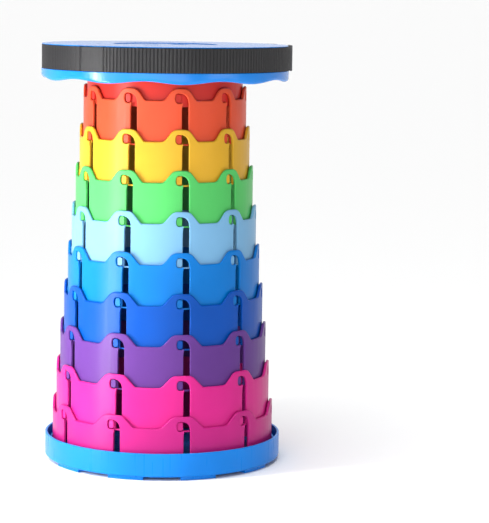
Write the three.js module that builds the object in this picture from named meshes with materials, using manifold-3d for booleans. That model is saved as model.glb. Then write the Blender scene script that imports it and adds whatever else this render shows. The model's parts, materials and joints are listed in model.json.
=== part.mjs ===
// Collapsible telescopic stool: nested slotted rings between a base tray and a round seat.
// Millimetres, +Z up. The origin lies on the stool's axis at floor level, the front is -Y.
// Angles run from the front towards +X, in degrees.
import * as THREE from 'three';
import { mergeVertices } from 'three/addons/utils/BufferGeometryUtils.js';
import Module from 'manifold-3d';

const wasm = await Module();
wasm.setup();

// General values
const clearance = 0.3; // between pieces that touch
const overrun = 2; // how far a cutter passes the face it cuts
const weld_distance = 1e-4; // corners nearer than this are one corner
const segment_count = 10; // arches, slots, feet and waves round the stool
const pitch_angle = 360 / segment_count;
const facets_per_segment = 4;
const round_facets = segment_count * facets_per_segment;
const small_facets = 8; // on screws and their bosses
const round_share = 0.3; // of a radius, from a corner to the middle of its rounding
const slot_angle = 12.5; // the last ring's slot right of the front
const slot_turn = 0.2; // from each ring's slots to those of the next ring inwards
const facet_shift_angle = 3.2; // from a slot to the facet edge beside it

// Telescoping rings
const ring_count = 9;
const ring_wall = 2.9;
const ring_gap = 0.9; // running gap between one ring and the next
const first_ring_radius = 82.4; // outside of the innermost slotted ring
const ring_height = 56;
const ring_travel = 40;
const bottom_band = 1.6; // closed band under each slot

// Castle-like top edge
const arch_height = 11.9;
const arch_top_angle = 10.4;
const arch_shoulder_angle = 6.1;
const arch_shift = 4.5; // the arch's middle lies this far left of its slot

// Slot and the pocket that its head hooks into
const slot_width = 6.8;
const slot_head_drop = 15.2; // below the arch top, where the slot starts to bend
const hook_top_drop = 4.9;
const pocket_shift = 6.9; // from the slot's middle to the pocket's middle
const pocket_lip = 1.1;
const lip_width = 0.9;
const hook_curve_steps = 2;

// Lugs, which stand in the pockets of the next ring out
const lug_width = 5.6;
const lug_height = 8.6;
const lug_corner = 1.8;
const lug_drop = 9.8; // from the arch top down to the lug's middle
const lug_bite = 1.4; // how far the lug enters the wall of the ring outside it
const lug_root = 1; // how deep the lug grows out of its own wall
const lug_clearance = 0.5;
const relief_skin = 1.2; // wall left outside the lug's inner channel

// Base tray
const foot_height = 3.5;
const foot_inset = 3; // from the tray's outside in to the feet
const foot_width = 11.5;
const foot_angle = 18;
const foot_shift_angle = -30.5; // from a slot to the middle of a foot
const floor_thickness = 2.5;
const tray_radius = 120.5;
const tray_wall = 2.5;
const tray_height = 27.2;
const tray_edge = 0.8;
const tray_rounding = 2.5; // of the lower edge
const collar_wall = 2.5;
const collar_gap = 0.6;
const collar_rim = 2.7; // above the windows for the lugs of the last ring
const hub_radius = 16;
const hub_ground_clearance = 1;
const base_rib_thickness = 2;

// Seat cover
const seat_radius = 125;
const seat_plate = 3;
const seat_rise = 41.1; // from the top of ring 1 to the top of the seat
const folded_top_gap = 0.5; // from the ring tops to the seat plate when folded
const seat_wall = 2.6;
const seat_lip_step = 0.8; // from the skirt's outside in to the lip's
const seat_lip_height = 0.9;
const seat_edge = 0.8;
const skirt_depth = 34.5;
const skirt_wave = 1.5;
const skirt_rounding = 4; // of the skirt's edge, which curls inwards
const wave_angle = 8.5; // a low point of the wavy edge
const seat_facets = segment_count * 5;
const socket_radius = 49.5;
const socket_wall = 2.2;
const socket_depth = 12;
const socket_ledge = 2.4;
const seat_rib_thickness = 2;
const seat_rib_height = 5.5;

// Core tube, screwed under the seat
const flange_thickness = 2.5;
const flange_radius = 59;
const screw_count = 5;
const screw_circle = 66.5;
const screw_angle = 31.5;
const boss_radius = 4.5;
const boss_height = 6.6;
const screw_shank = 1.5;
const screw_length = 8;
const screw_head_radius = 3.2;
const screw_head_height = 2.4;
const screw_socket_radius = 1.3;
const screw_socket_depth = 1.4;

// Centre cap with two finger holes
const cap_radius = 52.5;
const cap_plate = 2.5;
const cap_recess = 0.8;
const cap_edge = 0.6;
const cap_skirt_wall = 2;
const cap_skirt_depth = 8;
const finger_hole_radius = 10;
const finger_hole_spacing = 47;
const finger_rim_wall = 2;
const finger_rim_depth = 4;
const cap_facets = 36;
const hole_facets = 16;

// Webbing belt, its buckle and the carry handle
const belt_width = 23.4;
const belt_thickness = 1.6;
const belt_lap_angle = 139; // of the free end over the first turn
const belt_ramp_angle = 15;
const belt_step_angle = 360 / seat_facets;
const buckle_angle = 96;
const buckle_length = 20;
const buckle_bar = 2.6;
const buckle_rail = 1;
const buckle_thickness = 2.2;
const buckle_rail_reach = 1.2;
const handle_angle = 142;
const handle_width = 22;
const handle_foot_angle = 5.5;
const handle_foot_start_angle = 10;
const handle_reach = 57;
const handle_span = 38;
const handle_steps = 24;
// Along the arch: shares of half the span sideways, and of the reach outwards
const handle_path_shares = [
  [-0.98, 0.03], [-0.9, 0.12], [-0.88, 0.25], [-0.93, 0.42], [-1, 0.62], [-0.88, 0.82],
  [-0.5, 0.96], [0, 1], [0.5, 0.96], [0.88, 0.82], [1, 0.62], [0.93, 0.42], [0.88, 0.25],
  [0.9, 0.12], [0.98, 0.03],
];

// Heights and radii that follow
const floor_top = foot_height + floor_thickness;
const ring_bottom = floor_top + clearance;
const ring_radius = (k) => first_ring_radius + (k - 1) * (ring_wall + ring_gap);
const slotAngle = (k) => slot_angle + (ring_count - k) * slot_turn;
const ring_base = (k) => ring_bottom + (ring_count - k) * ring_travel;
const seat_top = ring_base(1) + ring_height + seat_rise;
const plate_bottom = seat_top - seat_plate;
const core_travel = seat_rise - seat_plate - folded_top_gap;
const core_radius = ring_radius(0);
const core_lug_height = ring_height - lug_drop - core_travel; // above the core's bottom edge
const core_bottom = ring_base(1) + ring_height - lug_drop - core_lug_height;
const ring_lug_height = ring_height - lug_drop - ring_travel;
const lug_reach = ring_gap + lug_bite;
const groove_height = belt_width + 2 * clearance;
const groove_top = seat_top - seat_lip_height;
const groove_bottom = groove_top - groove_height;
const belt_middle = (groove_top + groove_bottom) / 2;
const belt_radius = seat_radius - 2 * clearance - belt_thickness;
const groove_radius = belt_radius - clearance;
const cap_top = seat_top - cap_recess;
const cap_bottom = cap_top - cap_plate;
const ledge_top = cap_bottom - clearance;

const radians = THREE.MathUtils.degToRad;

// Solids from closed three.js geometry, and back
function solidOf(geometry) {
  const bare = geometry.clone();
  bare.deleteAttribute('normal');
  bare.deleteAttribute('uv');
  const merged = mergeVertices(bare, weld_distance);
  return new wasm.Manifold(new wasm.Mesh({
    numProp: 3,
    vertProperties: new Float32Array(merged.attributes.position.array),
    triVerts: new Uint32Array(merged.index.array),
  }));
}

function geometryOf(solid) {
  const mesh = solid.getMesh();
  const geometry = new THREE.BufferGeometry();
  geometry.setAttribute('position', new THREE.BufferAttribute(mesh.vertProperties, 3));
  geometry.setIndex(new THREE.BufferAttribute(mesh.triVerts, 1));
  geometry.computeVertexNormals();
  return geometry;
}

const joined = (solids) => solids.reduce((whole, one) => whole.add(one));
const without = (solid, cutters) => cutters.reduce((rest, one) => rest.subtract(one), solid);

// A profile of [radius, height] pairs turned round the axis
function turnedGeometry(profile, facets, shape) {
  const points = profile.map(([radius, height]) => new THREE.Vector2(radius, height));
  const geometry = new THREE.LatheGeometry(points, facets);
  geometry.rotateX(Math.PI / 2);
  if (shape) {
    const position = geometry.attributes.position;
    const point = new THREE.Vector3();
    for (let i = 0; i < position.count; i += 1) {
      shape(point.fromBufferAttribute(position, i));
      position.setXYZ(i, point.x, point.y, point.z);
    }
  }
  return geometry;
}

const turned = (profile, facets, shape) => solidOf(turnedGeometry(profile, facets, shape));

function tube(inner, outer, bottom, top) {
  return turned([
    [inner, bottom], [outer, bottom], [outer, top], [inner, top], [inner, bottom],
  ], round_facets);
}

// A flat shape pushed outwards from one radius to another, at an angle round the axis.
// Its x runs to the right as seen from outside, its y is the height.
function pushedOut(shape, from, to, angle) {
  const settings = { depth: to - from, bevelEnabled: false, curveSegments: hook_curve_steps };
  const geometry = new THREE.ExtrudeGeometry(shape, settings);
  geometry.translate(0, 0, from);
  geometry.rotateX(Math.PI / 2);
  geometry.rotateZ(radians(angle));
  return solidOf(geometry);
}

// A flat shape seen from above, raised from one height to another
function raised(shape, bottom, top, angle = 0) {
  const settings = { depth: top - bottom, bevelEnabled: false };
  const geometry = new THREE.ExtrudeGeometry(shape, settings);
  geometry.translate(0, 0, bottom);
  geometry.rotateZ(radians(angle));
  return solidOf(geometry);
}

function polygon(pairs) {
  return new THREE.Shape(pairs.map(([x, y]) => new THREE.Vector2(x, y)));
}

function box(left, right, low, high) {
  return polygon([[left, low], [right, low], [right, high], [left, high]]);
}

function aroundAxis(count, first_angle, make) {
  return Array.from({ length: count }, (_, i) => make(first_angle + i * 360 / count));
}

// One lug, crowned at its top and foot and centred on its own height
function lugShape(width, height) {
  const x = width / 2;
  const y = height / 2;
  return polygon([
    [-x, -y + lug_corner], [0, -y], [x, -y + lug_corner],
    [x, y - lug_corner], [0, y], [-x, y - lug_corner],
  ]);
}

// The gap between two arches: the edge drops down a shoulder, runs level and climbs again
function valleyShape(radius, top) {
  const half_valley = pitch_angle / 2 - arch_top_angle / 2 - arch_shoulder_angle;
  const low = radius * Math.tan(radians(half_valley));
  const high = radius * Math.tan(radians(half_valley + arch_shoulder_angle));
  const slope = (high - low) / arch_height;
  const above = high + slope * overrun;
  return polygon([
    [-low, top - arch_height], [low, top - arch_height],
    [above, top + overrun], [-above, top + overrun],
  ]);
}

// The slot runs straight up, bends over to the left and ends in the pocket for the lug
function hookShape(bottom, top) {
  const right = slot_width / 2;
  const left = -right;
  const head = top - hook_top_drop;
  const pocket_left = -pocket_shift - lug_width / 2 - lug_clearance;
  const pocket_floor = top - lug_drop - lug_height / 2 - lug_clearance;
  const pocket_middle = top - lug_drop;
  const shape = new THREE.Shape();
  shape.moveTo(left, bottom);
  shape.lineTo(right, bottom);
  shape.lineTo(right, top - slot_head_drop);
  shape.quadraticCurveTo(right, head, -pocket_shift, head);
  shape.quadraticCurveTo(pocket_left, head, pocket_left, pocket_middle);
  shape.quadraticCurveTo(pocket_left, pocket_floor, -pocket_shift, pocket_floor);
  shape.lineTo(left - lip_width, pocket_floor);
  shape.lineTo(left, pocket_floor + pocket_lip);
  shape.closePath();
  return shape;
}

// Where the pocket of ring k lies, left of its slot. Ring k - 1 has its lugs at this angle.
function pocketAngle(k) {
  return slotAngle(k) - THREE.MathUtils.radToDeg(pocket_shift / ring_radius(k));
}

// The lugs of ring k; the core tube counts as ring 0
function ringLugs(k, height) {
  const radius = ring_radius(k);
  const shape = lugShape(lug_width, lug_height);
  return aroundAxis(segment_count, pocketAngle(k + 1), (angle) => (
    pushedOut(shape, radius - lug_root, radius + lug_reach, angle).translate(0, 0, height)
  ));
}

// A slotted ring, with the channel inside its wall that the next smaller ring's lugs run in
function makeRing(k) {
  const radius = ring_radius(k);
  const inner = radius - ring_wall;
  const bottom = ring_base(k);
  const top = bottom + ring_height;
  const arch_angle = slotAngle(k) - THREE.MathUtils.radToDeg(arch_shift / radius);
  const valley = valleyShape(radius, top);
  const hook = hookShape(bottom + bottom_band, top);
  const channel_half = lug_width / 2 + lug_clearance;
  const channel = box(-channel_half, channel_half, bottom + bottom_band, top - lug_drop);
  const cuts = [
    ...aroundAxis(segment_count, arch_angle + pitch_angle / 2, (angle) => (
      pushedOut(valley, inner - overrun - ring_wall, radius + overrun, angle))),
    ...aroundAxis(segment_count, slotAngle(k), (angle) => (
      pushedOut(hook, inner - overrun, radius + overrun, angle))),
    ...aroundAxis(segment_count, pocketAngle(k), (angle) => (
      pushedOut(channel, inner - overrun, radius - relief_skin, angle))),
  ];
  const shell = tube(inner, radius, bottom, top).rotate(0, 0, slotAngle(k) + facet_shift_angle);
  return joined([without(shell, cuts), ...ringLugs(k, bottom + ring_lug_height)]);
}

// The core tube: plain wall, lugs at the foot and a screwed flange inside
function makeCore() {
  const inner = core_radius - ring_wall;
  const flange_top = plate_bottom - boss_height - clearance;
  const flange_bottom = flange_top - flange_thickness;
  const body = turned([
    [inner, core_bottom], [core_radius, core_bottom],
    [core_radius, plate_bottom - clearance], [inner, plate_bottom - clearance],
    [inner, flange_top], [flange_radius, flange_top],
    [flange_radius, flange_bottom], [inner, flange_bottom], [inner, core_bottom],
  ], round_facets);
  const hole_radius = screw_shank + 2 * clearance;
  const holes = aroundAxis(screw_count, screw_angle, (angle) => (
    turned([[0, flange_bottom - overrun], [hole_radius, flange_bottom - overrun],
      [hole_radius, flange_top + overrun], [0, flange_top + overrun]], small_facets)
      .translate(0, -screw_circle, 0).rotate(0, 0, angle)
  ));
  return joined([without(body, holes), ...ringLugs(0, core_bottom + core_lug_height)]);
}

// Base tray: rim, floor, collar with a window for each lug of the last ring, feet and ribs
function makeBase() {
  const outer = tray_radius;
  const inner = tray_radius - tray_wall;
  const collar_inner = ring_radius(ring_count) + collar_gap;
  const collar_outer = collar_inner + collar_wall;
  const window_height = ring_bottom + ring_lug_height;
  const collar_top = window_height + lug_height / 2 + lug_clearance + collar_rim;
  const foot_outer = outer - foot_inset;
  const foot_inner = foot_outer - foot_width;
  const round = tray_rounding * round_share;
  const body = turned([
    [0, hub_ground_clearance], [hub_radius, hub_ground_clearance], [hub_radius, foot_height],
    [foot_inner, foot_height], [foot_inner, 0], [foot_outer, 0], [foot_outer, foot_height],
    [outer - tray_rounding, foot_height], [outer - round, foot_height + round],
    [outer, foot_height + tray_rounding], [outer, tray_height - tray_edge], [outer - tray_edge, tray_height],
    [inner, tray_height], [inner, floor_top], [collar_outer, floor_top],
    [collar_outer, collar_top], [collar_inner, collar_top], [collar_inner, floor_top],
    [0, floor_top],
  ], round_facets);
  const notch_half = radians((pitch_angle - foot_angle) / 2);
  const near = foot_inner - overrun;
  const far = outer + overrun;
  const notch = polygon([
    [near * Math.tan(-notch_half), -near], [far * Math.tan(-notch_half), -far],
    [far * Math.tan(notch_half), -far], [near * Math.tan(notch_half), -near],
  ]);
  const notch_angle = slot_angle + foot_shift_angle + pitch_angle / 2;
  const window = lugShape(lug_width + 2 * lug_clearance, lug_height + 2 * lug_clearance);
  const cuts = [
    ...aroundAxis(segment_count, notch_angle, (angle) => (
      raised(notch, -overrun, foot_height, angle))),
    ...aroundAxis(segment_count, pocketAngle(ring_count + 1), (angle) => (
      pushedOut(window, collar_inner - collar_gap, collar_outer + clearance, angle)
        .translate(0, 0, window_height))),
  ];
  const rib = box(-base_rib_thickness / 2, base_rib_thickness / 2, hub_ground_clearance,
    foot_height + floor_thickness / 2);
  const ribs = aroundAxis(segment_count, notch_angle + pitch_angle / 2, (angle) => (
    pushedOut(rib, hub_radius / 2, foot_inner + base_rib_thickness, angle)
  ));
  return joined([without(body, cuts), ...ribs]);
}

// Seat cover: plate, grooved rim with a wavy skirt, socket for the cap, ribs and screw bosses
function makeSeat() {
  const rim_inner = groove_radius - seat_wall;
  const lip = seat_radius - seat_lip_step;
  const skirt_bottom = seat_top - skirt_depth;
  const skirt_inner = seat_radius - seat_wall;
  const curl = seat_radius - skirt_rounding;
  const round = skirt_rounding * round_share;
  const socket_outer = socket_radius + socket_wall;
  const recess = cap_radius + clearance;
  const recess_outer = recess + socket_wall;
  const socket_bottom = seat_top - socket_depth;
  const ledge_bottom = ledge_top - socket_ledge;
  const wavy = (point) => {
    const above = point.z > skirt_bottom + skirt_rounding + clearance;
    if (above || Math.hypot(point.x, point.y) < rim_inner) {
      return;
    }
    const angle = Math.atan2(point.x, -point.y) - radians(wave_angle);
    point.z -= skirt_wave * Math.cos(segment_count * angle);
  };
  const body = turned([
    [socket_radius, socket_bottom], [socket_outer, socket_bottom],
    [socket_outer, ledge_bottom], [recess_outer, ledge_bottom], [recess_outer, plate_bottom],
    [rim_inner, plate_bottom], [rim_inner, groove_bottom],
    [skirt_inner, groove_bottom - seat_wall], [skirt_inner, skirt_bottom + skirt_rounding],
    [curl, skirt_bottom + seat_wall], [curl, skirt_bottom],
    [seat_radius - round, skirt_bottom + round], [seat_radius, skirt_bottom + skirt_rounding],
    [seat_radius, groove_bottom], [groove_radius, groove_bottom], [groove_radius, groove_top],
    [lip, groove_top], [lip - seat_edge, seat_top],
    [recess, seat_top], [recess, ledge_top], [socket_radius, ledge_top],
    [socket_radius, socket_bottom],
  ], seat_facets, wavy);
  const in_plate = plate_bottom + seat_plate / 2;
  const boss_bottom = plate_bottom - boss_height;
  const pilot = screw_shank + clearance;
  const boss = turned([[0, boss_bottom], [boss_radius, boss_bottom], [boss_radius, in_plate],
    [0, in_plate]], small_facets);
  const pilot_hole = turned([[0, boss_bottom - overrun], [pilot, boss_bottom - overrun],
    [pilot, plate_bottom], [0, plate_bottom]], small_facets);
  const atScrews = (solid) => aroundAxis(screw_count, screw_angle, (angle) => (
    solid.translate(0, -screw_circle, 0).rotate(0, 0, angle)));
  const rib = box(-seat_rib_thickness / 2, seat_rib_thickness / 2,
    plate_bottom - seat_rib_height, in_plate);
  const rib_end = core_radius - ring_wall - clearance;
  const ribs = aroundAxis(screw_count, screw_angle + 180 / screw_count, (angle) => (
    pushedOut(rib, recess_outer - socket_wall / 2, rib_end, angle)));
  return without(joined([body, ...ribs, ...atScrews(boss)]), atScrews(pilot_hole));
}

// Centre cap: a disc with a plug rim below it and two finger holes
function makeCap() {
  const plug_outer = socket_radius - clearance;
  const plug_inner = plug_outer - cap_skirt_wall;
  const plug_bottom = cap_bottom - cap_skirt_depth;
  const body = turned([
    [0, cap_bottom], [plug_inner, cap_bottom], [plug_inner, plug_bottom],
    [plug_outer, plug_bottom], [plug_outer, cap_bottom], [cap_radius, cap_bottom],
    [cap_radius, cap_top - cap_edge], [cap_radius - cap_edge, cap_top], [0, cap_top],
  ], cap_facets);
  const rim = finger_hole_radius + finger_rim_wall;
  const rim_bottom = cap_bottom - finger_rim_depth;
  const in_cap = cap_bottom + cap_plate / 2;
  const collar = turned([[0, rim_bottom], [rim, rim_bottom], [rim, in_cap], [0, in_cap]],
    hole_facets);
  const hole = turned([[0, rim_bottom - overrun], [finger_hole_radius, rim_bottom - overrun],
    [finger_hole_radius, cap_top + overrun], [0, cap_top + overrun]], hole_facets);
  const twice = (solid) => aroundAxis(2, handle_angle, (angle) => (
    solid.translate(0, -finger_hole_spacing / 2, 0).rotate(0, 0, angle)));
  return without(joined([body, ...twice(collar)]), twice(hole));
}

// Pan-head screw, driven upwards through the core's flange, with a cross recess
function makeScrew(angle) {
  const flange_bottom = plate_bottom - boss_height - clearance - flange_thickness;
  const head_top = flange_bottom - clearance;
  const head_bottom = head_top - screw_head_height;
  const tip = head_top + screw_length;
  const round = screw_head_height / 3;
  const body = turned([
    [0, head_bottom], [screw_head_radius - round, head_bottom],
    [screw_head_radius, head_bottom + round], [screw_head_radius, head_top],
    [screw_shank, head_top], [screw_shank, tip - screw_shank / 2], [0, tip],
  ], small_facets);
  const arm = screw_socket_radius;
  const slit = screw_socket_radius / 3;
  const cross = [box(-arm, arm, -slit, slit), box(-slit, slit, -arm, arm)].map((shape) => (
    raised(shape, head_bottom - overrun, head_bottom + screw_socket_depth)));
  return without(body, cross).translate(0, -screw_circle, 0).rotate(0, 0, angle);
}

// A strip that follows a path seen from above, as thick as the webbing
function ribbonShape(path, thickness) {
  const left = [];
  const right = [];
  path.forEach((point, i) => {
    const before = path[Math.max(i - 1, 0)];
    const after = path[Math.min(i + 1, path.length - 1)];
    const along = after.clone().sub(before).normalize();
    const side = new THREE.Vector2(-along.y, along.x).multiplyScalar(thickness / 2);
    left.push(point.clone().add(side));
    right.push(point.clone().sub(side));
  });
  return new THREE.Shape([...left, ...right.reverse()]);
}

const atAngle = (radius, angle) => (
  new THREE.Vector2(radius * Math.sin(radians(angle)), -radius * Math.cos(radians(angle))));

// The belt starts under the buckle, runs once round the groove and laps over itself
function makeBelt() {
  const path = [];
  const end = 360 + belt_lap_angle;
  const middle = belt_radius + belt_thickness / 2;
  for (let run = 0; run <= end; run += belt_step_angle) {
    const climb = THREE.MathUtils.clamp((run - 360 + belt_ramp_angle) / belt_ramp_angle, 0, 1);
    path.push(atAngle(middle + climb * (belt_thickness + clearance), buckle_angle - run));
  }
  return raised(ribbonShape(path, belt_thickness), belt_middle - belt_width / 2,
    belt_middle + belt_width / 2);
}

// Slide buckle over the belt's free end, with rails that hold the webbing in
function makeBuckle() {
  const half = buckle_length / 2;
  const opening = belt_width / 2 + clearance;
  const tall = opening + buckle_rail;
  const seat = belt_radius + 2 * (belt_thickness + clearance);
  const frame = box(-half, half, belt_middle - tall, belt_middle + tall);
  const window_width = (buckle_length - 3 * buckle_bar) / 2;
  const window = box(0, window_width, belt_middle - opening, belt_middle + opening);
  const windows = [-half + buckle_bar, half - buckle_bar - window_width].map((left) => pushedOut(
    window, seat - overrun, seat + buckle_thickness + overrun, 0).translate(left, 0, 0)
    .rotate(0, 0, buckle_angle));
  const rails = [belt_middle - tall, belt_middle + opening].map((low) => pushedOut(
    box(-half, half, low, low + buckle_rail), seat - buckle_rail_reach, seat + buckle_thickness / 2,
    buckle_angle));
  const plate = pushedOut(frame, seat, seat + buckle_thickness, buckle_angle);
  return joined([without(plate, windows), ...rails]);
}

// Carry handle: a narrow arch of webbing that stands out from the rim on two sewn feet
function makeHandle() {
  const foot_radius = belt_radius + belt_thickness + clearance + belt_thickness / 2;
  const legs = new THREE.CatmullRomCurve3(handle_path_shares.map(([across, out]) => (
    new THREE.Vector3(across * handle_span / 2, foot_radius + out * handle_reach, 0))));
  const arch = legs.getSpacedPoints(handle_steps).map((p) => new THREE.Vector2(p.x, -p.y));
  const feet = [handle_foot_start_angle + handle_foot_angle, handle_foot_start_angle
    + handle_foot_angle / 2, handle_foot_start_angle];
  const path = [
    ...feet.map((angle) => atAngle(foot_radius, -angle)),
    ...arch,
    ...feet.reverse().map((angle) => atAngle(foot_radius, angle)),
  ];
  return raised(ribbonShape(path, belt_thickness), belt_middle - handle_width / 2,
    belt_middle + handle_width / 2, handle_angle);
}

// Colours, top to bottom
const azure = 0x2d8cf0;
const ring_colours = [0xe8503c, 0xfad23c, 0x46c85a, 0x8cbef0, 0x2d9be8, 0x0a64d7, 0x8750af,
  0xee3caf, 0xee3caf];
const webbing = 0x2f2d33;
const buckle_grey = 0x6c6a6c;
const steel = 0xb8babd;

function addPiece(name, solid, colour, roughness, metalness = 0) {
  const material = new THREE.MeshStandardMaterial({ color: colour, roughness, metalness });
  const mesh = new THREE.Mesh(geometryOf(solid), material);
  mesh.name = name;
  group.add(mesh);
}

const group = new THREE.Group();
addPiece('base_pan', makeBase(), azure, 0.35);
for (let k = ring_count; k >= 1; k -= 1) {
  addPiece(`ring_${k}`, makeRing(k), ring_colours[k - 1], 0.35);
}
addPiece('core_tube', makeCore(), ring_colours[0], 0.35);
addPiece('seat_cover', makeSeat(), azure, 0.35);
addPiece('centre_cap', makeCap(), azure, 0.35);
for (let i = 0; i < screw_count; i += 1) {
  addPiece(`seat_screw_${i + 1}`, makeScrew(screw_angle + i * 360 / screw_count), steel, 0.3, 1);
}
addPiece('belt', makeBelt(), webbing, 0.9);
addPiece('belt_buckle', makeBuckle(), buckle_grey, 0.45);
addPiece('carry_handle', makeHandle(), webbing, 0.9);

export default group;
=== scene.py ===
"""Looks for the collapsible telescopic stool: moulded rings, seat, base tray, webbing and hardware.

Sizes are in millimetres, unless a comment says metres. Angles are in degrees, measured from the
front (-Y) towards +X.
"""

import json
import math

import bpy
from mathutils import Color, Matrix, Vector

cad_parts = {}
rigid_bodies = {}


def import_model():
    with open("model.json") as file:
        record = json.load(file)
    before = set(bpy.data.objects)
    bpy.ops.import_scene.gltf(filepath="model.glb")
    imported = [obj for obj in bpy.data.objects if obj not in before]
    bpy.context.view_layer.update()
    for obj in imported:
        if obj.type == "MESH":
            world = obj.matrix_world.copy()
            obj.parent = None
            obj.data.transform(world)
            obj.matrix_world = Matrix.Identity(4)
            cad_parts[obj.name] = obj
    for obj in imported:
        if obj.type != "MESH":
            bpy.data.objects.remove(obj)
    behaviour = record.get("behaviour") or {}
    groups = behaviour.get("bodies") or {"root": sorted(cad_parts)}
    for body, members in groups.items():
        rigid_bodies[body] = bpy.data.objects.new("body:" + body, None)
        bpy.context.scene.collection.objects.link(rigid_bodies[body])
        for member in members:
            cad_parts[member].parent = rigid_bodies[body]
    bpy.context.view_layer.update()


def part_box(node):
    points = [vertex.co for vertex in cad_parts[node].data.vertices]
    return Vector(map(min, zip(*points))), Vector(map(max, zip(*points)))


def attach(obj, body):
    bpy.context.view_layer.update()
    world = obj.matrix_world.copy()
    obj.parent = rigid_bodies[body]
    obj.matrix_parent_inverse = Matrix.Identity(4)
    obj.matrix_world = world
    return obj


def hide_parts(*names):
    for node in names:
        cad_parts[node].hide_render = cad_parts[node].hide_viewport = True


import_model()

MM = 0.001

# Shared values
clearance = 0.3
segment_count = 10
pitch_angle = 360 / segment_count
slot_angle = 12.5  # of the last ring
slot_turn = 0.2  # from each ring's slots to those of the next ring inwards
smooth_angle = 35
edge_angle = 40  # sharper edges are rounded
flat_face_weight = 80  # how far large faces lead the shading of their rounded edges
weld_distance = 0.002
overrun = 2  # how far a cutter passes the faces it cuts through
overlap = 1  # how far a rib, a boss or a recess's cutter passes the face it meets
rib_edge = 0.3

# Facets round the turned pieces. Those that meet differ, so that their edges never fall together.
round_steps = 180
cap_steps = 144
finger_hole_steps = 64
finger_rim_steps = 57
finger_rim_start = 2  # degrees from the front to its first edge
boss_steps = 32
screw_steps = 30
screw_hole_steps = 24

# Facets of round corners and edges
corner_steps = 4
edge_steps = 3
small_edge_steps = 2

# Rings
ring_count = 9
ring_wall = 2.9
ring_gap = 0.9
first_ring_radius = 82.4
ring_height = 56
ring_travel = 40
bottom_band = 1.6
rim_rounding = 1.35
slot_rounding = 0.7
rim_steps = 4
ring_columns = 18  # facets across one arch
end_spare = 4  # drawn past a segment's ends and trimmed off
trim_margin = clearance / 9  # faces this near the trimming line are trimmed off too

arch_height = 11.9
arch_top_angle = 10.4
arch_shoulder_angle = 6.1
arch_shift = 4.5
arch_rounding = 10
left_valley_rounding = 7
right_valley_rounding = 3

slot_width = 6.8
slot_head_drop = 15.2
hook_top_drop = 4.9
hook_steps = 8
hook_split = 7  # the hook's point where the two halves of a segment meet
pocket_shift = 6.9
pocket_steps = 5
pocket_lip = 1.1
lip_width = 0.9
lip_steps = 3

lug_width = 5.6
lug_height = 8.6
lug_corner = 2.4
lug_edge = 0.6
lug_drop = 9.8
lug_bite = 1.4
lug_root = 1
lug_clearance = 0.5
relief_skin = 1.2
core_lug_height = 8.6  # above the core's bottom edge

# Base tray
foot_height = 3.5
foot_inset = 3
foot_width = 11.5
foot_angle = 18
foot_shift_angle = -30.5
floor_thickness = 2.5
tray_radius = 120.5
tray_wall = 2.5
tray_height = 27.2
tray_rounding = 2.5
tray_edge = 0.7
collar_wall = 2.5
collar_gap = 0.6
collar_top = 20
hub_radius = 16
hub_ground_clearance = 1
base_rib_thickness = 2
tray_columns = 20

# Seat
seat_radius = 125
seat_plate = 3
seat_wall = 2.6
seat_lip_radius = 124.2
seat_lip_height = 0.9
seat_rounding = 0.55
recess_rounding = 0.5
lip_rounding = 0.3
groove_rounding = 0.4
shoulder_rounding = 0.6
skirt_depth = 34.5
skirt_wave = 1.5
wave_angle = 8.5
skirt_rounding = 4
hem_rounding = 0.5
socket_radius = 49.5
socket_wall = 2.2
socket_depth = 12
socket_ledge = 2.4
seat_rib_thickness = 2
seat_rib_height = 5.5
seat_columns = 20

# Core tube and its screws
flange_thickness = 2.5
flange_radius = 59
core_edge = 0.4
screw_count = 5
screw_circle = 66.5
screw_angle = 31.5
boss_radius = 4.5
boss_height = 6.6
screw_shank = 1.5
screw_length = 8
screw_head_radius = 3.2
screw_head_height = 2.4
screw_head_rounding = 1.4
screw_head_steps = 6
screw_socket_radius = 1.3
screw_socket_depth = 1.4

# Centre cap
cap_radius = 52.5
cap_plate = 2.5
cap_recess = 0.8
cap_skirt_wall = 2
cap_skirt_depth = 8
cap_edge = 0.5
finger_hole_radius = 10
finger_hole_spacing = 47
finger_rim_wall = 2
finger_rim_depth = 4

# Webbing
belt_width = 23.4
belt_thickness = 1.6
belt_lap_angle = 139
belt_ramp_angle = 15
belt_radius = 122.8
rib_length = 3.6
rib_depth = 0.7
# Along one rib: shares of its length, and of its depth below the top
rib_profile = ((0, 1), (0.2, 0), (0.66, 0), (0.86, 1))
first_turn_rib_share = 0.3
belt_tip_angle = 14
belt_hem_angle = 2.4  # from the tip back to the hem's seam
belt_hem_half_angle = 0.48  # half the seam's width
belt_hem_depth = 0.6
selvedge_width = 1.4
yarns_per_rib = 3
weft_pitch = 1.3
buckle_angle = 96
buckle_length = 20
buckle_bar = 2.6
buckle_rail = 1
buckle_thickness = 2.2
buckle_corner = 1.5
buckle_edge = 0.5
buckle_lap = 1  # from the rails in to the windows
handle_angle = 142
handle_width = 22
handle_reach = 57
handle_span = 38
handle_steps = 6
handle_foot_angles = (15.5, 12.75, 10)
# Along the arch: shares of half the span sideways, and of the reach outwards
handle_path_shares = (
    (-0.98, 0.03), (-0.9, 0.12), (-0.88, 0.25), (-0.93, 0.42), (-1, 0.62), (-0.88, 0.82),
    (-0.5, 0.96), (0, 1), (0.5, 0.96), (0.88, 0.82), (1, 0.62), (0.93, 0.42), (0.88, 0.25),
    (0.9, 0.12), (0.98, 0.03),
)

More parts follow.
